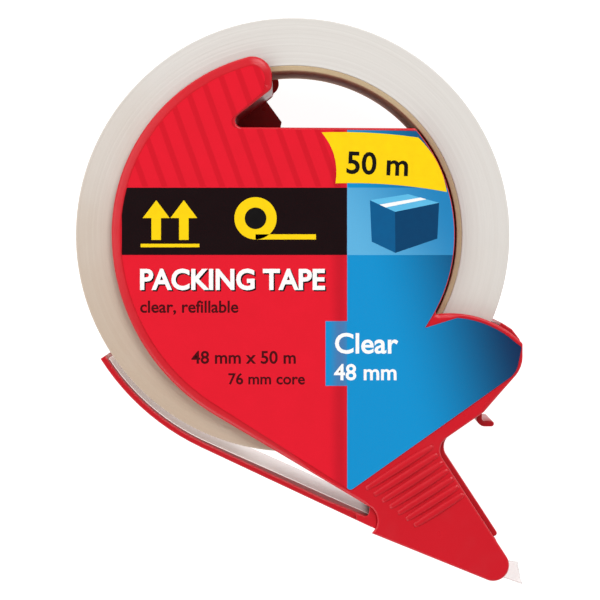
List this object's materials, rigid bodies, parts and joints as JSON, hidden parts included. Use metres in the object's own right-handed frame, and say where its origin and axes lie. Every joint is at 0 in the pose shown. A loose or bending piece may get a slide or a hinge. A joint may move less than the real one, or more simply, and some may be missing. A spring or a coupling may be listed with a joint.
{
  "type": "packing tape dispenser",
  "caption": "Hand-held packing-tape dispenser: two red cheeks round a full roll of clear tape on a hub, a guide arm, and a ribbed nose with a toothed blade.",
  "frame": {"origin": "roll axis where it meets the flat outer face of the rear cheek, which the dispenser lies on", "axes": "+Z along the roll axis towards the labelled cheek, +Y from the nose end towards the hanging slot, +X towards the grip lobe"},
  "size_m": [0.1037, 0.1318, 0.0538],
  "materials": {
    "red_plastic": "glossy moulded polystyrene",
    "blade_steel": "stamped spring steel",
    "clear_tape": "clear film with a faint cream adhesive",
    "wound_tape": "satin edge of a wound clear tape",
    "core_board": "plain grey-brown board",
    "label_paper": "gloss varnished print"
  },
  "bodies": {
    "root": {"rear_cheek": "red_plastic", "hub_drum": "red_plastic", "locating_posts": "red_plastic", "spine_wall": "red_plastic", "grip_wall": "red_plastic", "nose_floor": "red_plastic", "cutter_blade": "blade_steel", "blade_studs": "red_plastic", "tape_leader": "clear_tape", "release_tongue": "red_plastic"},
    "roll": {"tape_core": "core_board", "tape_winding": "wound_tape"},
    "front_half": {"front_cheek": "red_plastic", "grip_ribs": "red_plastic", "locating_pins": "red_plastic", "front_label": "label_paper"},
    "arm": {"guide_arm": "red_plastic"}
  },
  "joints": [
    {"name": "roll_spin", "type": "hinge", "parent": "root", "child": "roll", "pos_m": [0, 0, 0.0266], "axis": [0, 0, 1], "continuous": true},
    {"name": "front_lift", "type": "slide", "parent": "root", "child": "front_half", "axis": [0, 0, 1], "range_m": [0, 0.06]},
    {"name": "arm_flex", "type": "hinge", "parent": "root", "child": "arm", "pos_m": [0.01786, -0.06666, 0.0266], "axis": [0, 0, 1], "range_deg": [0, 8], "stiffness_Nm_per_rad": 1}
  ]
}
